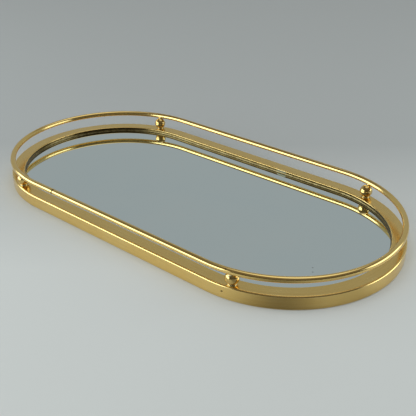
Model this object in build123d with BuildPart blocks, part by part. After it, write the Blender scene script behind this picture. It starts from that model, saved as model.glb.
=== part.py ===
from build123d import *
from math import copysign, cos, radians, sin
import os

# Pill-shaped mirrored vanity tray. Millimetres, +Z up, long side along X.
# Origin: centre of the tray on the surface it stands on.

# Frame: nearly square brass tube bent into a stadium (two straights, two half circles)
TRAY_LENGTH = 360.0
TRAY_WIDTH = 180.0
TUBE_SIDE = 11.0
TUBE_HEIGHT = 10.5
TUBE_WALL = 1.2
TUBE_CORNER = 1.0
TUBE_INNER_CORNER = 0.4
VENT_RADIUS = 1.0
VENT_X = 60.0

# Support ledge, backing board, back cover and mirror, stacked inside the frame
LEDGE_BOTTOM = 1.3
LEDGE_THICKNESS = 1.0
LEDGE_WIDTH = 7.0
BOARD_THICKNESS = 2.0
COVER_CLEARANCE = 0.5
GLASS_THICKNESS = 3.0
GLASS_CLEARANCE = 0.3
GLASS_ARRIS = 0.3

# Gallery rail: round rod bent into a slightly wider stadium above the frame
RAIL_RADIUS = 2.25
RAIL_HEIGHT = 22.0
RAIL_HALF_STRAIGHT = 88.6
RAIL_BEND_RADIUS = 88.6

# Four ball spacers, a little way round each half circle from its tangent point.
# The front right one was set nearer to the tangent point than the others.
BALL_RADIUS = 5.0
BALL_SEAT_SINK = 0.2
BALL_BEND_RADIUS = 85.4
BALL_ANGLE = 16.1
FRONT_RIGHT_ANGLE = 12.0

# Stud from the frame's top wall into each ball, and peg from each ball into the rail
STUD_RADIUS = 1.5
STUD_IN_BALL = 3.0
PEG_RADIUS = 1.4
PEG_IN_BALL = 2.5
PEG_IN_RAIL = 1.2
BORE_END_SPACE = 0.2

# Worked-out sizes
END_RADIUS = TRAY_WIDTH / 2
HALF_STRAIGHT = TRAY_LENGTH / 2 - END_RADIUS
TUBE_BEND_RADIUS = END_RADIUS - TUBE_SIDE / 2
WELL_RADIUS = END_RADIUS - TUBE_SIDE
LEDGE_TOP = LEDGE_BOTTOM + LEDGE_THICKNESS
BOARD_TOP = LEDGE_TOP + BOARD_THICKNESS
BALL_Z = TUBE_HEIGHT + BALL_RADIUS - BALL_SEAT_SINK
PEG_START = BALL_RADIUS - PEG_IN_BALL


def ball_centre(sign_x, sign_y, angle):
    """Centre of a ball that sits the given angle past its half circle's tangent point."""
    x = HALF_STRAIGHT + BALL_BEND_RADIUS * sin(radians(angle))
    y = BALL_BEND_RADIUS * cos(radians(angle))
    return Vector(sign_x * x, sign_y * y, BALL_Z)


# Corner name: centre of its ball
CORNERS = {
    "back_left": ball_centre(-1, 1, BALL_ANGLE),
    "back_right": ball_centre(1, 1, BALL_ANGLE),
    "front_right": ball_centre(1, -1, FRONT_RIGHT_ANGLE),
    "front_left": ball_centre(-1, -1, BALL_ANGLE),
}


def stadium_path(half_straight, bend_radius, height):
    """Closed centreline of two straights and two half circles, starting on the back straight."""
    right = half_straight + bend_radius
    with BuildLine(Plane.XY.offset(height)) as path:
        Line((0, bend_radius), (half_straight, bend_radius))
        ThreePointArc((half_straight, bend_radius), (right, 0), (half_straight, -bend_radius))
        Line((half_straight, -bend_radius), (-half_straight, -bend_radius))
        ThreePointArc((-half_straight, -bend_radius), (-right, 0), (-half_straight, bend_radius))
        Line((-half_straight, bend_radius), (0, bend_radius))
    return path.wire()


def stadium_plate(radius, bottom, thickness):
    """Flat plate with the outline of the tray, its half circles of the given radius."""
    with BuildPart() as plate:
        with BuildSketch(Plane.XY.offset(bottom)):
            SlotCenterToCenter(2 * HALF_STRAIGHT, 2 * radius)
        extrude(amount=thickness)
    return plate


def section_plane(bend_radius, height):
    """Plane across a ring's section at the middle of the back straight."""
    return Plane(origin=(0, bend_radius, height), x_dir=(0, 1, 0), z_dir=(1, 0, 0))


def peg_line(centre):
    """Vector from a ball's centre to the nearest point of the rail's centreline."""
    bend_centre = Vector(copysign(RAIL_HALF_STRAIGHT, centre.X), 0, RAIL_HEIGHT)
    outward = Vector(centre.X - bend_centre.X, centre.Y, 0).normalized()
    return bend_centre + outward * RAIL_BEND_RADIUS - centre


def peg_plane(centre):
    """Plane at a ball's centre, its normal along the peg towards the rail."""
    return Plane(origin=centre, z_dir=peg_line(centre))


def peg_end(centre):
    """Distance from a ball's centre to the end of its peg, inside the rail."""
    return peg_line(centre).length - RAIL_RADIUS + PEG_IN_RAIL


def save(piece, name):
    """Label a finished piece and write it as its own STEP file."""
    piece.part.label = name
    export_step(piece.part, f"parts/{name}.step")


os.makedirs("parts", exist_ok=True)

# Base frame: hollow tube ring, drilled from above for the studs and below for two vents
with BuildPart() as base_frame:
    with BuildSketch(section_plane(TUBE_BEND_RADIUS, TUBE_HEIGHT / 2)):
        RectangleRounded(TUBE_SIDE, TUBE_HEIGHT, TUBE_CORNER)
        RectangleRounded(
            TUBE_SIDE - 2 * TUBE_WALL, TUBE_HEIGHT - 2 * TUBE_WALL, TUBE_INNER_CORNER, mode=Mode.SUBTRACT
        )
    sweep(path=stadium_path(HALF_STRAIGHT, TUBE_BEND_RADIUS, TUBE_HEIGHT / 2))
    with BuildSketch(Plane.XY.offset(TUBE_HEIGHT)):
        for centre in CORNERS.values():
            with Locations((centre.X, centre.Y)):
                Circle(STUD_RADIUS)
    extrude(amount=-TUBE_WALL, mode=Mode.SUBTRACT)
    with BuildSketch(Plane.XY):
        with Locations((-VENT_X, TUBE_BEND_RADIUS), (VENT_X, -TUBE_BEND_RADIUS)):
            Circle(VENT_RADIUS)
    extrude(amount=TUBE_WALL, mode=Mode.SUBTRACT)
save(base_frame, "base_frame")

# Support ledge: flat strip ring soldered round the inside of the frame
with BuildPart() as support_ledge:
    with BuildSketch(Plane.XY.offset(LEDGE_BOTTOM)):
        SlotCenterToCenter(2 * HALF_STRAIGHT, 2 * WELL_RADIUS)
        SlotCenterToCenter(2 * HALF_STRAIGHT, 2 * (WELL_RADIUS - LEDGE_WIDTH), mode=Mode.SUBTRACT)
    extrude(amount=LEDGE_THICKNESS)
save(support_ledge, "support_ledge")

# Back cover: cloth glued under the board, inside the ledge
cover_radius = WELL_RADIUS - LEDGE_WIDTH - COVER_CLEARANCE
back_cover = stadium_plate(cover_radius, LEDGE_BOTTOM, LEDGE_THICKNESS)
save(back_cover, "back_cover")

# Backing board: rests on the ledge and carries the glass
backing_board = stadium_plate(WELL_RADIUS - GLASS_CLEARANCE, LEDGE_TOP, BOARD_THICKNESS)
save(backing_board, "backing_board")

# Mirror glass: dropped in from above, its edges ground to a small arris
with BuildPart() as mirror_glass:
    with BuildSketch(Plane.XY.offset(BOARD_TOP)):
        SlotCenterToCenter(2 * HALF_STRAIGHT, 2 * (WELL_RADIUS - GLASS_CLEARANCE))
    extrude(amount=GLASS_THICKNESS)
    chamfer(mirror_glass.faces().sort_by(Axis.Z)[-1].edges(), GLASS_ARRIS)
    chamfer(mirror_glass.faces().sort_by(Axis.Z)[0].edges(), GLASS_ARRIS)
save(mirror_glass, "mirror_glass")

# Gallery rail: round rod ring with a blind hole for each peg
with BuildPart() as gallery_rail:
    with BuildSketch(section_plane(RAIL_BEND_RADIUS, RAIL_HEIGHT)):
        Circle(RAIL_RADIUS)
    sweep(path=stadium_path(RAIL_HALF_STRAIGHT, RAIL_BEND_RADIUS, RAIL_HEIGHT))
    for centre in CORNERS.values():
        with BuildSketch(peg_plane(centre).offset(peg_end(centre))):
            Circle(PEG_RADIUS)
        extrude(amount=-(PEG_IN_RAIL + RAIL_RADIUS / 2), mode=Mode.SUBTRACT)
save(gallery_rail, "gallery_rail")

# Ball spacers, each with its stud below and its peg above
for corner, centre in CORNERS.items():
    with BuildPart() as ball:
        with Locations(centre):
            Sphere(BALL_RADIUS)
        split(bisect_by=Plane.XY.offset(TUBE_HEIGHT), keep=Keep.TOP)
        with BuildSketch(Plane.XY.offset(TUBE_HEIGHT)):
            with Locations((centre.X, centre.Y)):
                Circle(STUD_RADIUS)
        extrude(amount=STUD_IN_BALL, mode=Mode.SUBTRACT)
        with BuildSketch(peg_plane(centre).offset(PEG_START)):
            Circle(PEG_RADIUS)
        extrude(amount=BALL_RADIUS, mode=Mode.SUBTRACT)
    save(ball, f"ball_spacer_{corner}")

    with BuildPart() as stud:
        with BuildSketch(Plane.XY.offset(TUBE_HEIGHT - TUBE_WALL)):
            with Locations((centre.X, centre.Y)):
                Circle(STUD_RADIUS)
        extrude(amount=TUBE_WALL + STUD_IN_BALL - BORE_END_SPACE)
    save(stud, f"stud_{corner}")

    with BuildPart() as peg:
        with BuildSketch(peg_plane(centre).offset(PEG_START + BORE_END_SPACE)):
            Circle(PEG_RADIUS)
        extrude(amount=peg_end(centre) - PEG_START - BORE_END_SPACE)
    save(peg, f"rail_peg_{corner}")
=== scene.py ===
import bpy
import math
from mathutils import Matrix, Vector


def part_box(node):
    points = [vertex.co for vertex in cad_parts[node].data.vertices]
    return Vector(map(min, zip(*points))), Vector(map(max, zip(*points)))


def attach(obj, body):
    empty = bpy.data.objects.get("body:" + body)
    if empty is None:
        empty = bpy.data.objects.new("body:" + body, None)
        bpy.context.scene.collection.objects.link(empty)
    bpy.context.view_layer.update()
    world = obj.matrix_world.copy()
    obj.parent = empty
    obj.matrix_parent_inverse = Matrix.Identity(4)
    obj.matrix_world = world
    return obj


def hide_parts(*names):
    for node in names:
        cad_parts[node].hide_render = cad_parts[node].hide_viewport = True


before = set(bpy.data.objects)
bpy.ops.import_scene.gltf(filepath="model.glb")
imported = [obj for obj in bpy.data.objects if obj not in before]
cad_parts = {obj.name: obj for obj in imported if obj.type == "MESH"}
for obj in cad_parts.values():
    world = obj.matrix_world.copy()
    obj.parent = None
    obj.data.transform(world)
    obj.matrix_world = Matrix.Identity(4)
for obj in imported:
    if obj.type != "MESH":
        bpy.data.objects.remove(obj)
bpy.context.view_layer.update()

MM = 0.001
CORNERS = ("back_left", "back_right", "front_right", "front_left")

# ---------------------------------------------------------------- sizes, from the CAD nodes
_, frame_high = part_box("base_frame")
rail_low, rail_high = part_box("gallery_rail")
glass_low, glass_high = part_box("mirror_glass")

FRAME_TOP = frame_high.z
END_RADIUS = frame_high.y
HALF_STRAIGHT = frame_high.x - frame_high.y
WELL_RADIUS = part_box("support_ledge")[1].y
TUBE_WIDTH = END_RADIUS - WELL_RADIUS
TUBE_BEND_RADIUS = END_RADIUS - TUBE_WIDTH / 2

RAIL_RADIUS = (rail_high.z - rail_low.z) / 2
RAIL_HEIGHT = (rail_high.z + rail_low.z) / 2
RAIL_BEND_RADIUS = rail_high.y - RAIL_RADIUS
RAIL_HALF_STRAIGHT = rail_high.x - rail_high.y
GLASS_RADIUS = glass_high.y

# ---------------------------------------------------------------- small marks seen on the object
RAIL_JOINT_X = -65.5 * MM
WELD = (34.0 * MM, WELL_RADIUS, FRAME_TOP - 3.0 * MM)
NICK = (-168.6 * MM, 7.8 * MM, FRAME_TOP - 0.3 * MM)
PIT = (103.5 * MM, -88.9 * MM, 5.6 * MM)
HEAT_MARKS = ((106 * MM, -88.7 * MM, 23.9 * MM), (104 * MM, 86.0 * MM, 23.9 * MM))
MIRROR_SPECKS = ((135.1 * MM, -29.6 * MM), (138.0 * MM, -34.1 * MM))

# ---------------------------------------------------------------- mesh density along the rings
STRAIGHT_STEP = 6 * MM
ARC_STEP = 1.6 * MM


def direction(azimuth, elevation):
    """Unit vector towards a place round the object. Azimuth 0 is -Y and 90 is +X, in degrees."""
    a, e = math.radians(azimuth), math.radians(elevation)
    return Vector((math.sin(a) * math.cos(e), -math.cos(a) * math.cos(e), math.sin(e)))


# ---------------------------------------------------------------- mesh helpers


def stations(half_straight, bend_radius, extra_x=()):
    """Points round a stadium from the left end of its back: (x, y, outward x, outward y, distance along).

    extra_x adds points at those places on the front straight.
    """
    found = []
    straight_count = round(2 * half_straight / STRAIGHT_STEP)
    arc_count = round(math.pi * bend_radius / ARC_STEP)
    back_x = [half_straight * (2 * i / straight_count - 1) for i in range(straight_count)]
    front_x = sorted([-x for x in back_x] + list(extra_x), reverse=True)
    travelled = 0.0
    for x in back_x:
        found.append((x, bend_radius, 0.0, 1.0, travelled + x + half_straight))
    travelled += 2 * half_straight
    for i in range(arc_count):
        turn = math.pi * i / arc_count
        out = (math.sin(turn), math.cos(turn))
        x = half_straight + bend_radius * out[0]
        found.append((x, bend_radius * out[1], out[0], out[1], travelled + turn * bend_radius))
    travelled += math.pi * bend_radius
    for x in front_x:
        found.append((x, -bend_radius, 0.0, -1.0, travelled + half_straight - x))
    travelled += 2 * half_straight
    for i in range(arc_count):
        turn = math.pi * i / arc_count
        out = (-math.sin(turn), -math.cos(turn))
        x = -half_straight + bend_radius * out[0]
        found.append((x, bend_radius * out[1], out[0], out[1], travelled + turn * bend_radius))
    return found, travelled + math.pi * bend_radius


def finish_mesh(name, verts, faces, normals, loop_uvs, marks=None):
    """A smooth mesh object with exact normals, a UV map in metres and named point attributes."""
    mesh = bpy.data.meshes.new(name)
    mesh.from_pydata([tuple(v) for v in verts], [], faces)
    mesh.shade_smooth()
    mesh.normals_split_custom_set_from_vertices([tuple(n) for n in normals])
    uv = mesh.uv_layers.new(name="Path")
    uv.data.foreach_set("uv", [c for pair in loop_uvs for c in pair])
    for mark, values in (marks or {}).items():
        mesh.attributes.new(mark, "FLOAT", "POINT").data.foreach_set("value", values)
    obj = bpy.data.objects.new(name, mesh)
    bpy.context.scene.collection.objects.link(obj)
    return obj


def sweep_ring(name, profile, path, path_length, height, scale_at=None):
    """Sweeps a closed profile round the path. scale_at(x, y) scales the profile at a place.

    Each profile point is (out, up, normal out, normal up, distance round, marks).
    """
    count, rows = len(profile), len(path)
    verts, normals = [], []
    marks = {key: [] for key in profile[0][5]}
    for x, y, out_x, out_y, along in path:
        scale = scale_at(x, y) if scale_at else 1.0
        for out, up, normal_out, normal_up, _, values in profile:
            verts.append((x + out_x * out * scale, y + out_y * out * scale, height + up * scale))
            normals.append((out_x * normal_out, out_y * normal_out, normal_up))
            for key, value in values.items():
                marks[key].append(value)
    last_gap = math.dist(profile[-1][:2], profile[0][:2])
    perimeter = profile[-1][4] + (last_gap if profile[-1][4] > profile[0][4] else -last_gap)
    faces, loop_uvs = [], []
    for i in range(rows):
        here, there = path[i][4], path[i + 1][4] if i + 1 < rows else path_length
        for j in range(count):
            a, b = i * count + j, i * count + (j + 1) % count
            c, d = ((i + 1) % rows) * count + (j + 1) % count, ((i + 1) % rows) * count + j
            low, high = profile[j][4], profile[j + 1][4] if j + 1 < count else perimeter
            faces.append((a, b, c, d))
            loop_uvs += [(here, low), (here, high), (there, high), (there, low)]
    return finish_mesh(name, verts, faces, normals, loop_uvs, marks)


def lathe(name, profile, placement, turns):
    """Revolves (radius, up, normal out, normal up) points about the Z axis of the placement matrix."""
    verts, normals = [], []
    turn_matrix = placement.to_3x3()
    for i in range(turns):
        angle = 2 * math.pi * i / turns
        ca, sa = math.cos(angle), math.sin(angle)
        for radius, up, normal_out, normal_up in profile:
            verts.append(placement @ Vector((radius * ca, radius * sa, up)))
            normals.append(turn_matrix @ Vector((normal_out * ca, normal_out * sa, normal_up)))
    count = len(profile)
    lengths = [0.0]
    for before, after in zip(profile, profile[1:]):
        lengths.append(lengths[-1] + math.dist(before[:2], after[:2]))
    faces, loop_uvs = [], []
    for i in range(turns):
        for j in range(count - 1):
            a, b = i * count + j, ((i + 1) % turns) * count + j
            faces.append((a, b, b + 1, a + 1))
            u0, u1 = i / turns, (i + 1) / turns
            loop_uvs += [(u0, lengths[j]), (u1, lengths[j]), (u1, lengths[j + 1]), (u0, lengths[j + 1])]
    return finish_mesh(name, verts, faces, normals, loop_uvs)


def fillet_points(centre, radius, start, end, count):
    """Points on a concave arc in a section plane, with normals towards its centre. Angles in degrees."""
    found = []
    for i in range(count + 1):
        angle = math.radians(start + (end - start) * i / count)
        ca, sa = math.cos(angle), math.sin(angle)
        found.append((centre[0] + radius * ca, centre[1] + radius * sa, -ca, -sa))
    return found


# ---------------------------------------------------------------- material helpers


class Nodes:
    """A material's node tree, with short calls for the nodes that every material here uses."""

    def __init__(self, name):
        self.material = bpy.data.materials.new(name)
        self.material.use_nodes = True
        self.tree = self.material.node_tree
        self.shader = self.tree.nodes["Principled BSDF"]

    def node(self, kind, **settings):
        """A new node with the given settings."""
        made = self.tree.nodes.new(kind)
        for key, value in settings.items():
            setattr(made, key, value)
        return made

    def link(self, source, target):
        """Link from an output socket to an input socket."""
        self.tree.links.new(source, target)

    def set(self, **values):
        """Sets the shader's own sockets; an underscore in a name stands for a space."""
        for key, value in values.items():
            self.shader.inputs[key.replace("_", " ")].default_value = value

    def position(self, scale=(1, 1, 1)):
        """Object coordinates, stretched."""
        coordinates = self.node("ShaderNodeTexCoord")
        mapping = self.node("ShaderNodeMapping")
        mapping.inputs["Scale"].default_value = scale
        self.link(coordinates.outputs["Object"], mapping.inputs["Vector"])
        return mapping.outputs["Vector"]

    def path(self, scale=(1, 1, 1)):
        """Distance along and round a swept piece, stretched."""
        coordinates = self.node("ShaderNodeUVMap", uv_map="Path")
        mapping = self.node("ShaderNodeMapping")
        mapping.inputs["Scale"].default_value = scale
        self.link(coordinates.outputs["UV"], mapping.inputs["Vector"])
        return mapping.outputs["Vector"]

    def tangent_along_path(self):
        """Turns the shader's anisotropy along a swept piece."""
        tangent = self.node("ShaderNodeTangent", direction_type="UV_MAP", uv_map="Path")
        self.link(tangent.outputs[0], self.shader.inputs["Tangent"])

    def mark(self, name):
        """A named point attribute of the mesh."""
        return self.node("ShaderNodeAttribute", attribute_name=name).outputs["Fac"]

    def noise(self, vector, scale, detail, rough):
        """Clouds, or streaks when the vector is stretched."""
        made = self.node("ShaderNodeTexNoise")
        made.inputs["Scale"].default_value = scale
        made.inputs["Detail"].default_value = detail
        made.inputs["Roughness"].default_value = rough
        self.link(vector, made.inputs["Vector"])
        return made.outputs["Fac"]

    def spots(self, vector, scale, low, high):
        """1 inside small round cells, 0 outside."""
        made = self.node("ShaderNodeTexVoronoi")
        made.inputs["Scale"].default_value = scale
        self.link(vector, made.inputs["Vector"])
        return self.ramp(made.outputs["Distance"], (low, 1.0), (high, 0.0))

    def ramp(self, value, start, end):
        """Straight-line remap from one (input, output) pair to another, held at its ends."""
        made = self.node("ShaderNodeMapRange")
        for key, number in zip(("From Min", "To Min", "From Max", "To Max"), (*start, *end)):
            made.inputs[key].default_value = number
        self.link(value, made.inputs["Value"])
        return made.outputs["Result"]

    def math(self, operation, first, second):
        """Arithmetic on two values, each a number or a socket."""
        made = self.node("ShaderNodeMath", operation=operation)
        for socket, value in zip(made.inputs, (first, second)):
            if isinstance(value, (int, float)):
                socket.default_value = value
            else:
                self.link(value, socket)
        return made.outputs["Value"]

    def share(self, value, factor):
        """A value times a number."""
        return self.math("MULTIPLY", value, factor)

    def mix(self, factor, first, second):
        """Mix of two colours, each a tuple or a socket, by a factor socket."""
        made = self.node("ShaderNodeMix", data_type="RGBA")
        for socket, value in ((made.inputs[0], factor), (made.inputs[6], first), (made.inputs[7], second)):
            if isinstance(value, tuple):
                socket.default_value = (*value, 1.0)
            else:
                self.link(value, socket)
        return made.outputs[2]

    def bump(self, height, strength, distance, under=None):
        """Normal from a height, on top of another normal if one is given."""
        made = self.node("ShaderNodeBump")
        made.inputs["Strength"].default_value = strength
        made.inputs["Distance"].default_value = distance
        self.link(height, made.inputs["Height"])
        if under is not None:
            self.link(under, made.inputs["Normal"])
        return made.outputs["Normal"]


# ---------------------------------------------------------------- materials of the tray

GOLD = (0.94, 0.665, 0.235)
GOLD_PALE = (0.97, 0.72, 0.29)
GOLD_DEEP = (0.80, 0.50, 0.13)
BRONZE_DARK = (0.14, 0.088, 0.026)
BRONZE = (0.28, 0.185, 0.06)
# Dark of the painted reflection band at the top of the inner wall
PAINTED_DARK_REFLECTION = (0.03, 0.018, 0.006)
WELD_GREY = (0.46, 0.45, 0.31)
PIT_DARK = (0.10, 0.06, 0.02)
JOINT_DARK = (0.03, 0.02, 0.008)
BALL_GOLD = (0.80, 0.57, 0.21)
BALL_DEEP = (0.66, 0.43, 0.14)
SOLDER_DEEP = (0.60, 0.50, 0.25)
SOLDER_PALE = (0.76, 0.66, 0.38)
BEAD_DEEP = (0.18, 0.13, 0.05)
BEAD_PALE = (0.36, 0.29, 0.14)
BEAD_BREAK = (0.12, 0.09, 0.04)
RAW_BRASS = (0.62, 0.43, 0.17)
OXIDE = (0.33, 0.20, 0.08)
OXIDE_STREAK = (0.24, 0.15, 0.07)
SILVER_COOL = (0.800, 0.895, 0.925)
SILVER_HAZE = (0.825, 0.905, 0.925)
SPECK_DARK = (0.16, 0.14, 0.11)
GLASS_EDGE = (0.42, 0.50, 0.44)
BOARD_DARK = (0.17, 0.10, 0.055)
BOARD_PALE = (0.32, 0.21, 0.12)
BOARD_STAIN = (0.12, 0.07, 0.04)
FELT_BLACK = (0.010, 0.010, 0.012)
FELT_GREY = (0.055, 0.055, 0.062)
FELT_TUFT = (0.028, 0.027, 0.03)

# A painted dark reflection makes the inner wall darkest in a band just under the frame's top
BAND_BOTTOM = FRAME_TOP - 1.7 * MM
BAND_TOP = FRAME_TOP - 1.1 * MM


def near_point(m, point, radius, softness=1.5):
    """1 within the radius of a point of the object, falling to 0 at softness times the radius."""
    distance = m.node("ShaderNodeVectorMath", operation="DISTANCE")
    m.link(m.position(), distance.inputs[0])
    distance.inputs[1].default_value = point
    return m.ramp(distance.outputs["Value"], (radius, 1.0), (radius * softness, 0.0))


def inner_wall_colour(m, weld):
    """Dull bronze of the frame's inner wall, with a painted dark reflection band at its top and the weld
    patch.
    """
    grime = m.noise(m.position((1, 1, 2)), scale=90.0, detail=4.0, rough=0.6)
    dull = m.mix(m.ramp(grime, (0.4, 0.0), (0.72, 1.0)), BRONZE_DARK, BRONZE)
    height = m.node("ShaderNodeSeparateXYZ")
    m.link(m.position(), height.inputs[0])
    # Painted dark reflection: a darker band just under the frame's top
    band = m.ramp(height.outputs["Z"], (BAND_BOTTOM, 0.0), (BAND_TOP, 1.0))
    dull = m.mix(band, dull, PAINTED_DARK_REFLECTION)
    return m.mix(weld, dull, WELD_GREY)


def brushed_gold():
    """Satin gold plate on the frame: lengthwise brush lines, rubbed corners and a dull inner wall with a
    painted dark reflection band at its top.
    """
    m = Nodes("SatinGold")
    streaks = m.noise(m.path((14, 900, 1)), scale=1.0, detail=3.0, rough=0.6)
    fine = m.noise(m.path((60, 5200, 1)), scale=1.0, detail=2.0, rough=0.5)
    clouds = m.noise(m.position(), scale=38.0, detail=5.0, rough=0.6)
    edge = m.mark("edge")
    inner = m.mark("inner")
    weld = near_point(m, WELD, 4.2 * MM, softness=1.15)
    nick = near_point(m, NICK, 0.6 * MM)
    pit = near_point(m, PIT, 0.6 * MM)

    colour = m.mix(m.ramp(clouds, (0.35, 0.0), (0.68, 0.7)), GOLD, GOLD_PALE)
    colour = m.mix(m.ramp(streaks, (0.30, 0.36), (0.60, 0.0)), colour, GOLD_DEEP)
    colour = m.mix(m.share(edge, 0.4), colour, GOLD_PALE)
    colour = m.mix(inner, colour, inner_wall_colour(m, weld))
    colour = m.mix(m.share(nick, 0.7), colour, WELD_GREY)
    colour = m.mix(m.share(pit, 0.8), colour, PIT_DARK)
    m.link(colour, m.shader.inputs["Base Color"])

    brushed = m.ramp(streaks, (0.25, 0.11), (0.75, 0.17))
    rough = m.math("ADD", brushed, m.ramp(clouds, (0.4, 0.0), (0.75, 0.05)))
    rough = m.math("ADD", rough, m.share(m.mark("top"), 0.08))
    rough = m.math("SUBTRACT", rough, m.share(edge, 0.02))
    rough = m.math("ADD", rough, m.share(inner, 0.11))
    damaged = m.math("ADD", m.math("MULTIPLY", weld, inner), nick)
    rough = m.math("ADD", rough, m.share(damaged, 0.4))
    m.link(rough, m.shader.inputs["Roughness"])

    normal = m.bump(fine, strength=0.05, distance=0.02 * MM)
    normal = m.bump(streaks, strength=0.05, distance=0.03 * MM, under=normal)
    normal = m.bump(pit, strength=0.6, distance=-0.3 * MM, under=normal)
    m.link(normal, m.shader.inputs["Normal"])
    m.set(Metallic=1.0, Anisotropic=0.15)
    m.tangent_along_path()
    return m.material


def rail_gold():
    """Polished rod with faint draw lines along its length, handling marks and a dark joint."""
    m = Nodes("RailGold")
    lines = m.noise(m.path((9, 1500, 1)), scale=1.0, detail=3.0, rough=0.6)
    clouds = m.noise(m.position(), scale=55.0, detail=5.0, rough=0.6)
    handled = m.spots(m.path(), scale=190.0, low=0.05, high=0.16)
    joint = m.mark("joint")

    colour = m.mix(m.ramp(clouds, (0.35, 0.0), (0.7, 0.7)), GOLD, GOLD_PALE)
    colour = m.mix(m.ramp(lines, (0.28, 0.25), (0.5, 0.0)), colour, GOLD_DEEP)
    colour = m.mix(m.share(handled, 0.2), colour, GOLD_DEEP)
    for heat_mark in HEAT_MARKS:
        heat = near_point(m, heat_mark, 0.5 * MM, softness=2.2)
        colour = m.mix(m.share(heat, 0.6), colour, PIT_DARK)
    colour = m.mix(m.share(joint, 0.96), colour, JOINT_DARK)
    m.link(colour, m.shader.inputs["Base Color"])

    drawn = m.ramp(lines, (0.25, 0.08), (0.75, 0.12))
    rough = m.math("ADD", drawn, m.ramp(clouds, (0.4, 0.0), (0.75, 0.04)))
    rough = m.math("ADD", rough, m.share(handled, 0.05))
    rough = m.math("ADD", rough, m.share(joint, 0.4))
    m.link(rough, m.shader.inputs["Roughness"])

    normal = m.bump(lines, strength=0.05, distance=0.02 * MM)
    normal = m.bump(handled, strength=0.08, distance=0.02 * MM, under=normal)
    m.link(normal, m.shader.inputs["Normal"])
    m.set(Metallic=1.0, Anisotropic=0.1)
    m.tangent_along_path()
    return m.material


def polished_gold():
    """Mirror-polished balls with faint tarnish clouds and hairline scratches."""
    m = Nodes("PolishedGold")
    clouds = m.noise(m.position(), scale=260.0, detail=4.0, rough=0.6)
    hairs = m.noise(m.position((1, 1, 9)), scale=900.0, detail=2.0, rough=0.5)
    colour = m.mix(m.ramp(clouds, (0.4, 0.0), (0.7, 1.0)), BALL_GOLD, BALL_DEEP)
    m.link(colour, m.shader.inputs["Base Color"])
    m.link(m.ramp(clouds, (0.35, 0.05), (0.75, 0.13)), m.shader.inputs["Roughness"])
    m.link(m.bump(hairs, strength=0.05, distance=0.01 * MM), m.shader.inputs["Normal"])
    m.set(Metallic=1.0)
    return m.material


def solder_gold():
    """Plated solder fillets: duller, uneven gold."""
    m = Nodes("SolderGold")
    clouds = m.noise(m.position(), scale=700.0, detail=5.0, rough=0.65)
    colour = m.mix(m.ramp(clouds, (0.35, 0.0), (0.7, 1.0)), SOLDER_DEEP, SOLDER_PALE)
    m.link(colour, m.shader.inputs["Base Color"])
    m.link(m.ramp(clouds, (0.3, 0.16), (0.75, 0.34)), m.shader.inputs["Roughness"])
    m.link(m.bump(clouds, strength=0.35, distance=0.08 * MM), m.shader.inputs["Normal"])
    m.set(Metallic=1.0)
    return m.material


def bead_brass():
    """Dull sealing bead round the mirror: grey-gold with small dark breaks."""
    m = Nodes("BeadBrass")
    clouds = m.noise(m.path((300, 300, 1)), scale=1.0, detail=4.0, rough=0.6)
    breaks = m.noise(m.path((90, 40, 1)), scale=1.0, detail=2.0, rough=0.5)
    colour = m.mix(m.ramp(clouds, (0.35, 0.0), (0.7, 1.0)), BEAD_DEEP, BEAD_PALE)
    colour = m.mix(m.ramp(breaks, (0.6, 0.0), (0.7, 0.7)), colour, BEAD_BREAK)
    m.link(colour, m.shader.inputs["Base Color"])
    m.link(m.bump(clouds, strength=0.3, distance=0.05 * MM), m.shader.inputs["Normal"])
    m.set(Metallic=1.0, Roughness=0.34)
    return m.material


def plain_brass():
    """Unpolished brass under the tray: rolled streaks and brown oxide clouds."""
    m = Nodes("PlainBrass")
    clouds = m.noise(m.position(), scale=60.0, detail=6.0, rough=0.65)
    streaks = m.noise(m.position((4, 220, 40)), scale=1.0, detail=3.0, rough=0.6)
    colour = m.mix(m.ramp(clouds, (0.35, 0.0), (0.72, 1.0)), RAW_BRASS, OXIDE)
    colour = m.mix(m.ramp(streaks, (0.4, 0.25), (0.7, 0.0)), colour, OXIDE_STREAK)
    m.link(colour, m.shader.inputs["Base Color"])
    m.link(m.ramp(clouds, (0.3, 0.34), (0.75, 0.52)), m.shader.inputs["Roughness"])
    m.link(m.bump(streaks, strength=0.1, distance=0.03 * MM), m.shader.inputs["Normal"])
    m.set(Metallic=1.0)
    return m.material


def mirror_silver():
    """Silvered glass: cool tint, faint dust haze, a few dark specks and a greenish ground edge."""
    m = Nodes("MirrorSilver")
    haze = m.noise(m.position(), scale=16.0, detail=5.0, rough=0.6)
    dust = m.spots(m.position(), scale=430.0, low=0.03, high=0.07)
    dusty = m.ramp(m.noise(m.position(), scale=21.0, detail=1.0, rough=0.4), (0.62, 0.0), (0.66, 1.0))
    specks = m.math("MULTIPLY", dust, dusty)
    for x, y in MIRROR_SPECKS:
        specks = m.math("MAXIMUM", specks, near_point(m, (x, y, glass_high.z), 0.35 * MM, softness=1.7))
    edge = m.mark("edge")

    colour = m.mix(m.ramp(haze, (0.3, 0.0), (0.75, 1.0)), SILVER_COOL, SILVER_HAZE)
    colour = m.mix(m.share(specks, 0.75), colour, SPECK_DARK)
    colour = m.mix(edge, colour, GLASS_EDGE)
    m.link(colour, m.shader.inputs["Base Color"])

    rough = m.math("ADD", m.ramp(haze, (0.45, 0.0), (0.8, 0.012)), m.share(specks, 0.3))
    rough = m.math("ADD", rough, m.share(edge, 0.35))
    m.link(rough, m.shader.inputs["Roughness"])
    m.set(Metallic=1.0)
    return m.material


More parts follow.
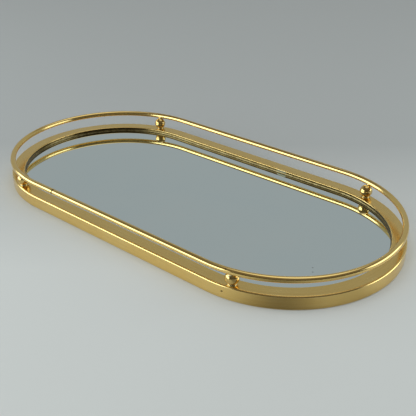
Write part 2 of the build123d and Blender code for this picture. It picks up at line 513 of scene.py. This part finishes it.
def hardboard():
    """Raw pressed fibre board."""
    m = Nodes("Hardboard")
    fibres = m.noise(m.position((1, 5, 1)), scale=420.0, detail=5.0, rough=0.7)
    clouds = m.noise(m.position(), scale=30.0, detail=4.0, rough=0.6)
    colour = m.mix(m.ramp(fibres, (0.3, 0.0), (0.7, 1.0)), BOARD_DARK, BOARD_PALE)
    colour = m.mix(m.ramp(clouds, (0.4, 0.0), (0.7, 0.4)), colour, BOARD_STAIN)
    m.link(colour, m.shader.inputs["Base Color"])
    m.link(m.bump(fibres, strength=0.4, distance=0.1 * MM), m.shader.inputs["Normal"])
    m.set(Roughness=0.82)
    return m.material


def felt():
    """Black wool felt with a short fuzzy nap."""
    m = Nodes("Felt")
    fuzz = m.noise(m.position(), scale=1400.0, detail=4.0, rough=0.75)
    tufts = m.noise(m.position((1, 3, 1)), scale=260.0, detail=4.0, rough=0.6)
    colour = m.mix(m.ramp(fuzz, (0.3, 0.0), (0.75, 1.0)), FELT_BLACK, FELT_GREY)
    colour = m.mix(m.ramp(tufts, (0.45, 0.0), (0.75, 0.5)), colour, FELT_TUFT)
    m.link(colour, m.shader.inputs["Base Color"])
    m.link(m.bump(fuzz, strength=0.6, distance=0.25 * MM), m.shader.inputs["Normal"])
    m.set(Roughness=0.95, Sheen_Weight=0.35)
    return m.material


SATIN_GOLD = brushed_gold()
RAIL_GOLD = rail_gold()
POLISHED_GOLD = polished_gold()
SOLDER_GOLD = solder_gold()
PLAIN_BRASS = plain_brass()


def place(piece, material, slot, *nodes):
    """Gives a new piece its material and its body and hides the CAD nodes that it stands for; the slot
    argument is not used.
    """
    piece.data.materials.append(material)
    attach(piece, "root")
    if nodes:
        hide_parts(*nodes)


# ---------------------------------------------------------------- frame tube

OUTER_TOP_CORNER = 1.4 * MM
INNER_TOP_CORNER = 0.8 * MM
BOTTOM_CORNER = 1.0 * MM
CORNER_STEPS = 8
# A surface counts as inner wall or top once its normal is nearly square to that side
FACING = 0.94


def tube_profile(width, height, corners):
    """Rounded rectangle, counter-clockwise from the outer top corner, with edge, inner and top marks."""
    found = []
    travelled = 0.0
    for quarter, radius in enumerate(corners):
        side_out = 1 if quarter in (0, 3) else -1
        side_up = 1 if quarter in (0, 1) else -1
        centre = (side_out * (width / 2 - radius), side_up * (height / 2 - radius))
        for step in range(CORNER_STEPS + 1):
            angle = math.radians(90 * (quarter + step / CORNER_STEPS))
            ca, sa = math.cos(angle), math.sin(angle)
            point = (centre[0] + radius * ca, centre[1] + radius * sa)
            if found:
                travelled += math.dist(found[-1][:2], point)
            marks = {
                "edge": math.sin(math.pi * step / CORNER_STEPS),
                "inner": max(0.0, -ca - FACING) / (1 - FACING),
                "top": max(0.0, sa - FACING) / (1 - FACING),
            }
            found.append((*point, ca, sa, travelled, marks))
    return found


tube_path, tube_length = stations(HALF_STRAIGHT, TUBE_BEND_RADIUS)
tube_corners = (OUTER_TOP_CORNER, INNER_TOP_CORNER, BOTTOM_CORNER, BOTTOM_CORNER)
tube_section = tube_profile(TUBE_WIDTH, FRAME_TOP, tube_corners)
frame_tube = sweep_ring("frame_tube", tube_section, tube_path, tube_length, FRAME_TOP / 2)
place(frame_tube, SATIN_GOLD, "satin_brass", "base_frame")

# ---------------------------------------------------------------- gallery rail

RAIL_SIDES = 40
JOINT_FLAT = 0.45 * MM
JOINT_HALF_WIDTH = 0.65 * MM
JOINT_DEPTH = 0.16


def rail_profile():
    """Round section with its distance round and a joint mark, which is filled in after the sweep."""
    found = []
    for i in range(RAIL_SIDES):
        angle = 2 * math.pi * i / RAIL_SIDES
        ca, sa = math.cos(angle), math.sin(angle)
        found.append((RAIL_RADIUS * ca, RAIL_RADIUS * sa, ca, sa, RAIL_RADIUS * angle, {"joint": 0.0}))
    return found


def joint_groove(x, y):
    """Depth, from 0 to 1, of the shallow groove where the two rod ends meet at the front."""
    away = abs(x - RAIL_JOINT_X)
    if y > 0 or away > JOINT_HALF_WIDTH:
        return 0.0
    return min(1.0, (JOINT_HALF_WIDTH - away) / (JOINT_HALF_WIDTH - JOINT_FLAT))


def joint_scale(x, y):
    """Scale of the rail's section at a place."""
    return 1.0 - JOINT_DEPTH * joint_groove(x, y)


joint_x = [
    RAIL_JOINT_X + side * distance
    for side in (-1, 1)
    for distance in (2 * JOINT_HALF_WIDTH, 1.01 * JOINT_HALF_WIDTH, JOINT_HALF_WIDTH, JOINT_FLAT)
]
rail_path, rail_length = stations(RAIL_HALF_STRAIGHT, RAIL_BEND_RADIUS, joint_x)
rail_rod = sweep_ring("rail_rod", rail_profile(), rail_path, rail_length, RAIL_HEIGHT, joint_scale)
joint_marks = rail_rod.data.attributes["joint"].data
for index, (x, y, _, _, _) in enumerate(rail_path):
    for side in range(RAIL_SIDES):
        joint_marks[index * RAIL_SIDES + side].value = joint_groove(x, y)
place(rail_rod, RAIL_GOLD, "rail_brass", "gallery_rail")

# ---------------------------------------------------------------- ball spacers with their solder

BALL_SEAT_SINK = 0.2 * MM
SEAT_FILLET = 0.55 * MM
NECK_FILLET = 1.15 * MM
BALL_ROWS = 40
BALL_TURNS = 64
POLE_RADIUS = 0.002 * MM
SEAT_ROWS = 10
NECK_ROWS = 16
NECK_TURNS = 40


def ball_piece(name, centre, radius, floor):
    """Sphere flattened where it sits on the frame."""
    profile = []
    for i in range(BALL_ROWS + 1):
        angle = math.pi * i / BALL_ROWS - math.pi / 2
        up = max(radius * math.sin(angle), floor - centre.z)
        out = radius * math.cos(angle)
        profile.append((max(out, POLE_RADIUS), up, math.cos(angle), math.sin(angle)))
    return lathe(name, profile, Matrix.Translation(centre), BALL_TURNS)


def seat_piece(name, centre, radius, floor):
    """Concave fillet between the frame's top and the ball."""
    drop = centre.z - floor
    ring = math.sqrt((radius + SEAT_FILLET) ** 2 - (drop - SEAT_FILLET) ** 2)
    towards = math.degrees(math.atan2(drop - SEAT_FILLET, -ring))
    points = fillet_points((ring, SEAT_FILLET), SEAT_FILLET, 270, towards, SEAT_ROWS)
    return lathe(name, points, Matrix.Translation((centre.x, centre.y, floor)), BALL_TURNS)


def neck_piece(name, centre, radius):
    """Concave fillet between the ball and the rail above and outside it."""
    sign_x = math.copysign(1, centre.x)
    level = Vector((centre.x - sign_x * RAIL_HALF_STRAIGHT, centre.y, 0))
    nearest = level.normalized() * RAIL_BEND_RADIUS + Vector((sign_x * RAIL_HALF_STRAIGHT, 0, RAIL_HEIGHT))
    span = nearest - centre
    reach = span.length
    low, high = radius + NECK_FILLET, RAIL_RADIUS + NECK_FILLET
    along = (low ** 2 - high ** 2 + reach ** 2) / (2 * reach)
    ring = math.sqrt(low ** 2 - along ** 2)
    start = math.degrees(math.atan2(-along, -ring)) % 360
    end = math.degrees(math.atan2(reach - along, -ring))
    points = fillet_points((ring, along), NECK_FILLET, start, end, NECK_ROWS)
    turn = span.to_track_quat("Z", "Y").to_matrix().to_4x4()
    return lathe(name, points, Matrix.Translation(centre) @ turn, NECK_TURNS)


for corner in CORNERS:
    low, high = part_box(f"ball_spacer_{corner}")
    radius = (high.x - low.x) / 2
    centre = Vector(((low.x + high.x) / 2, (low.y + high.y) / 2, FRAME_TOP + radius - BALL_SEAT_SINK))
    ball = ball_piece(f"ball_{corner}", centre, radius, FRAME_TOP)
    place(ball, POLISHED_GOLD, "polished_brass", f"ball_spacer_{corner}")
    place(seat_piece(f"solder_seat_{corner}", centre, radius, FRAME_TOP), SOLDER_GOLD, "plain_brass")
    place(neck_piece(f"solder_neck_{corner}", centre, radius), SOLDER_GOLD, "plain_brass")

# ---------------------------------------------------------------- mirror and its bead

GLASS_ARRIS = 0.3 * MM
RIM_INSET = 8 * MM
ARRIS_MARGIN = 0.15 * MM


def plate_piece(name, half_straight, radius, low, high, arris):
    """Flat stadium plate with chamfered edges; the chamfers and side carry the edge mark."""
    path, _ = stations(half_straight, radius)
    # Each row is (out, up, normal out, normal up, edge mark); the normals are made unit length below
    rows = (
        (-RIM_INSET, high, 0, 1, 0),
        (-arris - ARRIS_MARGIN, high, 0, 1, 0),
        (-arris, high, 0, 1, 0),
        (-arris, high, 1, 1, 1),
        (0, high - arris, 1, 1, 1),
        (0, high - arris, 1, 0, 1),
        (0, low + arris, 1, 0, 1),
        (0, low + arris, 1, -1, 1),
        (-arris, low, 1, -1, 1),
        (-arris, low, 0, -1, 0),
        (-RIM_INSET, low, 0, -1, 0),
    )
    verts, normals, edge = [], [], []
    for x, y, out_x, out_y, _ in path:
        for out, up, normal_out, normal_up, mark in rows:
            verts.append((x + out_x * out, y + out_y * out, up))
            normals.append(Vector((out_x * normal_out, out_y * normal_out, normal_up)).normalized())
            edge.append(mark)
    count, total = len(rows), len(path)
    faces = []
    joined = [j for j in range(count - 1) if rows[j][:2] != rows[j + 1][:2]]
    for i in range(total):
        after = (i + 1) % total
        for j in joined:
            faces.append((i * count + j, after * count + j, after * count + j + 1, i * count + j + 1))
    faces.append([i * count for i in range(total)][::-1])
    faces.append([i * count + count - 1 for i in range(total)])
    loop_uvs = [(verts[v][0], verts[v][1]) for face in faces for v in face]
    return finish_mesh(name, verts, faces, normals, loop_uvs, {"edge": edge})


mirror = plate_piece("mirror_plate", HALF_STRAIGHT, GLASS_RADIUS, glass_low.z, glass_high.z, GLASS_ARRIS)
place(mirror, mirror_silver(), "mirror", "mirror_glass")

BEAD_WIDTH = 0.45 * MM
BEAD_HEIGHT = 1.0 * MM
BEAD_STEPS = 8
BEAD_OVERLAP = 0.05 * MM


def bead_section():
    """Concave fillet between the mirror and the frame's inner wall, its back hidden in the wall.

    It is worked out clockwise and turned round at the end, because a profile runs counter-clockwise.
    """
    found = []
    for step in range(BEAD_STEPS + 1):
        angle = math.radians(90 * step / BEAD_STEPS)
        out, up = -BEAD_WIDTH * (1 - math.sin(angle)), BEAD_HEIGHT * (1 - math.cos(angle))
        normal = Vector((-BEAD_HEIGHT * math.sin(angle), BEAD_WIDTH * math.cos(angle))).normalized()
        found.append((out, up, *normal, BEAD_HEIGHT * angle, {}))
    back_start = BEAD_HEIGHT * math.pi / 2 + BEAD_OVERLAP
    found.append((BEAD_OVERLAP, BEAD_HEIGHT, 1.0, 0.0, back_start, {}))
    found.append((BEAD_OVERLAP, 0.0, 1.0, 0.0, back_start + BEAD_HEIGHT, {}))
    return found[::-1]


bead_path, bead_length = stations(HALF_STRAIGHT, WELL_RADIUS)
bead = sweep_ring("mirror_bead", bead_section(), bead_path, bead_length, glass_high.z)
place(bead, bead_brass(), "plain_brass")

# ---------------------------------------------------------------- CAD nodes that stay


def repaint(node, material):
    """Puts one material on every slot of a CAD node that keeps its own shape."""
    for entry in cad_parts[node].material_slots:
        entry.material = material


repaint("support_ledge", PLAIN_BRASS)
repaint("backing_board", hardboard())
repaint("back_cover", felt())
for corner in CORNERS:
    repaint(f"stud_{corner}", PLAIN_BRASS)
    repaint(f"rail_peg_{corner}", PLAIN_BRASS)

# ---------------------------------------------------------------- floor

# Azimuth of the wall behind the tray, opposite the camera
WALL_AZIMUTH = 220.0
FLOOR_HALF = 8.0
FLOOR_DULL = (0.635, 0.65, 0.625)
FLOOR_PALE = (0.65, 0.665, 0.64)
FLOOR_BEHIND = (0.415, 0.43, 0.42)
# Distances towards the wall between which the floor turns darker
FLOOR_TURN = (-0.10, 0.12)


def studio_floor():
    """Plain pale matt floor, a little darker behind the tray."""
    m = Nodes("StudioFloor")
    clouds = m.noise(m.position(), scale=3.0, detail=2.0, rough=0.5)
    pale = m.mix(clouds, FLOOR_DULL, FLOOR_PALE)
    along = m.node("ShaderNodeVectorMath", operation="DOT_PRODUCT")
    m.link(m.position(), along.inputs[0])
    along.inputs[1].default_value = direction(WALL_AZIMUTH, 0)
    behind = m.ramp(along.outputs["Value"], (FLOOR_TURN[0], 0.0), (FLOOR_TURN[1], 1.0))
    m.link(m.mix(behind, pale, FLOOR_BEHIND), m.shader.inputs["Base Color"])
    m.set(Roughness=0.75)
    return m.material


def studio_piece(name, verts, faces, material):
    """A flat piece of the studio, which isn't part of the object."""
    mesh = bpy.data.meshes.new(name)
    mesh.from_pydata([tuple(v) for v in verts], [], faces)
    mesh.materials.append(material)
    obj = bpy.data.objects.new(name, mesh)
    bpy.context.scene.collection.objects.link(obj)
    return obj


floor_corners = [(FLOOR_HALF * x, FLOOR_HALF * y, 0) for x, y in ((-1, -1), (1, -1), (1, 1), (-1, 1))]
floor = studio_piece("floor", floor_corners, [(0, 1, 2, 3)], studio_floor())

# ---------------------------------------------------------------- dark card

# The card's shade round the near end is a peak with a weaker shoulder, in degrees:
# (azimuth, width towards lower azimuths, width towards higher azimuths, strength)
CARD_LOBES = ((34.2, 30.6, 35.0, 0.82), (68.0, 19.0, 19.0, 0.36))
CARD_AZIMUTHS = (0.0, 90.0)
# Metres from the middle of the right half circle, and out from there
CARD_START = 0.090
CARD_LENGTH = 0.40
CARD_ROWS = 60
CARD_LIFT = 0.2 * MM
CARD_PALE = (0.64, 0.655, 0.63)
CARD_DARK = (0.10, 0.095, 0.08)
CARD_OLIVE = (0.14, 0.13, 0.11)


def card_shade(azimuth):
    """Darkness of the card in one direction from the middle of the right half circle."""
    shade = 0.0
    for centre, low_width, high_width, strength in CARD_LOBES:
        away = azimuth - centre
        part = abs(away) / (high_width if away > 0 else low_width)
        if part < 1:
            shade += strength * (0.5 + 0.5 * math.cos(math.pi * part))
    return min(shade, 1.0)


def card_material():
    """Matt card that turns from the floor's colour to dark olive by its shade mark."""
    m = Nodes("StudioCard")
    clouds = m.noise(m.position(), scale=6.0, detail=2.0, rough=0.5)
    dark = m.mix(clouds, CARD_DARK, CARD_OLIVE)
    m.link(m.mix(m.mark("shade"), CARD_PALE, dark), m.shader.inputs["Base Color"])
    m.set(Roughness=0.8)
    return m.material


def dark_card():
    """Soft-edged dark card on the floor in front, seen only in the gloss of the metal."""
    centre = Vector((HALF_STRAIGHT, 0, CARD_LIFT))
    first, last = CARD_AZIMUTHS
    verts, shades = [], []
    for i in range(CARD_ROWS + 1):
        out = CARD_START + CARD_LENGTH * (i / CARD_ROWS) ** 2
        for j in range(CARD_ROWS + 1):
            azimuth = first + (last - first) * j / CARD_ROWS
            verts.append(centre + direction(azimuth, 0) * out)
            shades.append(card_shade(azimuth))
    row = CARD_ROWS + 1
    faces = [
        (i * row + j, i * row + j + 1, (i + 1) * row + j + 1, (i + 1) * row + j)
        for i in range(CARD_ROWS)
        for j in range(CARD_ROWS)
    ]
    card = studio_piece("dark_card", verts, faces, card_material())
    card.data.attributes.new("shade", "FLOAT", "POINT").data.foreach_set("value", shades)
    card.visible_camera = False
    card.visible_diffuse = False
    card.visible_shadow = False


dark_card()

# ---------------------------------------------------------------- camera, at the photograph's angle

CAMERA_AZIMUTH = 40.05
CAMERA_ELEVATION = 28.53
CAMERA_ROLL = 0.07
CAMERA_DISTANCE = 0.5585
CAMERA_TARGET = Vector((0.0167, 0.0005, -0.0005))
CAMERA_LENS = 59.48
CAMERA_SENSOR = 36.0
CAMERA_CLIP = (0.02, 20.0)

camera_data = bpy.data.cameras.new("camera")
camera_data.lens = CAMERA_LENS
camera_data.sensor_width = CAMERA_SENSOR
camera_data.clip_start, camera_data.clip_end = CAMERA_CLIP
camera = bpy.data.objects.new("camera", camera_data)
bpy.context.scene.collection.objects.link(camera)
back = direction(CAMERA_AZIMUTH, CAMERA_ELEVATION)
camera.location = CAMERA_TARGET + back * CAMERA_DISTANCE
roll = Matrix.Rotation(math.radians(CAMERA_ROLL), 4, "Z")
camera.rotation_mode = "QUATERNION"
camera.rotation_quaternion = ((-back).to_track_quat("-Z", "Y").to_matrix().to_4x4() @ roll).to_quaternion()
bpy.context.scene.camera = camera

# ---------------------------------------------------------------- lights

# Each box has a larger, weaker one just behind it, which softens its edge in the gloss:
# (name, azimuth, elevation, distance, width, height, radiance)
SOFTBOXES = (
    ("key_left", -40, 14, 0.90, 1.15, 0.38, 2.2),
    ("key_edge", -40, 14, 0.92, 1.40, 0.46, 0.9),
    ("fill_right", 127, 17, 0.90, 0.56, 0.34, 1.4),
    ("fill_edge", 127, 17, 0.92, 0.74, 0.40, 0.7),
)
SOFTBOX_COLOUR = (0.92, 1.0, 1.04)
WASH_ENERGY = 1.3
WASH_SPREAD = 70
WASH_COLOUR = (0.94, 1.0, 1.06)
WASH_FROM = direction(20, 68)


def light(name, kind, colour, towards):
    """A lamp that shines from the given direction towards the tray."""
    data = bpy.data.lights.new(name, kind)
    data.color = colour
    lamp = bpy.data.objects.new(name, data)
    bpy.context.scene.collection.objects.link(lamp)
    lamp.rotation_mode = "QUATERNION"
    lamp.rotation_quaternion = towards.to_track_quat("Z", "Y")
    return lamp


def softbox(name, azimuth, elevation, distance, width, height, radiance):
    """Rectangular area light facing the tray, hidden from the camera but seen in reflections."""
    towards = direction(azimuth, elevation)
    lamp = light(name, "AREA", SOFTBOX_COLOUR, towards)
    lamp.location = towards * distance
    lamp.data.shape = "RECTANGLE"
    lamp.data.size, lamp.data.size_y = width, height
    lamp.data.energy = radiance * math.pi * width * height
    lamp.visible_camera = False


def wash():
    """Broad even light on the floor, left out of the gloss because its disc would show in the mirror."""
    lamp = light("wash", "SUN", WASH_COLOUR, WASH_FROM)
    lamp.data.energy = WASH_ENERGY
    lamp.data.angle = math.radians(WASH_SPREAD)
    lamp.visible_glossy = False


for settings in SOFTBOXES:
    softbox(*settings)
wash()

# ---------------------------------------------------------------- world

ROOM = (0.095, 0.092, 0.082)
CEILING = (0.17, 0.155, 0.13)
WALL = (0.345, 0.365, 0.357)
GLOW = (0.95, 0.98, 0.98)
GLOW_FROM = direction(187, 75)
# Ranges over which one part of the room passes into the next
WALL_TOP = (0.60, 0.74)
WALL_SIDE = (-0.35, 0.35)
CEILING_EDGE = (0.45, 0.8)
GLOW_EDGE = (0.86, 0.985)


class WorldNodes:
    """The world's node tree, with short calls for the nodes that the room uses."""

    def __init__(self, name):
        world = bpy.data.worlds.new(name)
        world.use_nodes = True
        bpy.context.scene.world = world
        self.tree = world.node_tree
        self.view = self.tree.nodes.new("ShaderNodeTexCoord").outputs["Generated"]

    def height(self):
        """Height of the looked-at direction, from -1 straight down to 1 straight up."""
        separate = self.tree.nodes.new("ShaderNodeSeparateXYZ")
        self.tree.links.new(self.view, separate.inputs[0])
        return separate.outputs["Z"]

    def facing(self, towards):
        """1 in the given direction, 0 square to it and -1 opposite it."""
        made = self.tree.nodes.new("ShaderNodeVectorMath")
        made.operation = "DOT_PRODUCT"
        made.inputs[1].default_value = towards
        self.tree.links.new(self.view, made.inputs[0])
        return made.outputs["Value"]

    def step(self, value, edge, start, end, interpolation="SMOOTHSTEP"):
        """Passes from start to end between the two numbers of edge."""
        made = self.tree.nodes.new("ShaderNodeMapRange")
        made.interpolation_type = interpolation
        for key, number in zip(("From Min", "From Max", "To Min", "To Max"), (*edge, start, end)):
            made.inputs[key].default_value = number
        self.tree.links.new(value, made.inputs["Value"])
        return made.outputs["Result"]

    def product(self, first, second):
        """Two values multiplied."""
        made = self.tree.nodes.new("ShaderNodeMath")
        made.operation = "MULTIPLY"
        self.tree.links.new(first, made.inputs[0])
        self.tree.links.new(second, made.inputs[1])
        return made.outputs["Value"]

    def mix(self, factor, first, second):
        """Mix of two colours, the first a tuple or a socket and the second a tuple."""
        made = self.tree.nodes.new("ShaderNodeMix")
        made.data_type = "RGBA"
        self.tree.links.new(factor, made.inputs[0])
        if isinstance(first, tuple):
            made.inputs[6].default_value = (*first, 1.0)
        else:
            self.tree.links.new(first, made.inputs[6])
        made.inputs[7].default_value = (*second, 1.0)
        return made.outputs[2]


def studio_world():
    """Grey wall behind the tray up to mid height, a darker room round it and a soft glow overhead."""
    w = WorldNodes("Studio")
    height = w.height()
    below_top = w.step(height, WALL_TOP, 1.0, 0.0)
    behind = w.step(w.facing(direction(WALL_AZIMUTH, 0)), WALL_SIDE, 0.0, 1.0)
    above = w.step(height, CEILING_EDGE, 0.0, 1.0, "LINEAR")
    room = w.mix(above, ROOM, CEILING)
    room = w.mix(w.product(below_top, behind), room, WALL)
    glow = w.step(w.facing(GLOW_FROM), GLOW_EDGE, 0.0, 1.0)
    sky = w.mix(glow, room, GLOW)
    w.tree.links.new(sky, w.tree.nodes["Background"].inputs["Color"])


studio_world()
bpy.context.scene.view_settings.view_transform = "Standard"

bpy.context.view_layer.update()
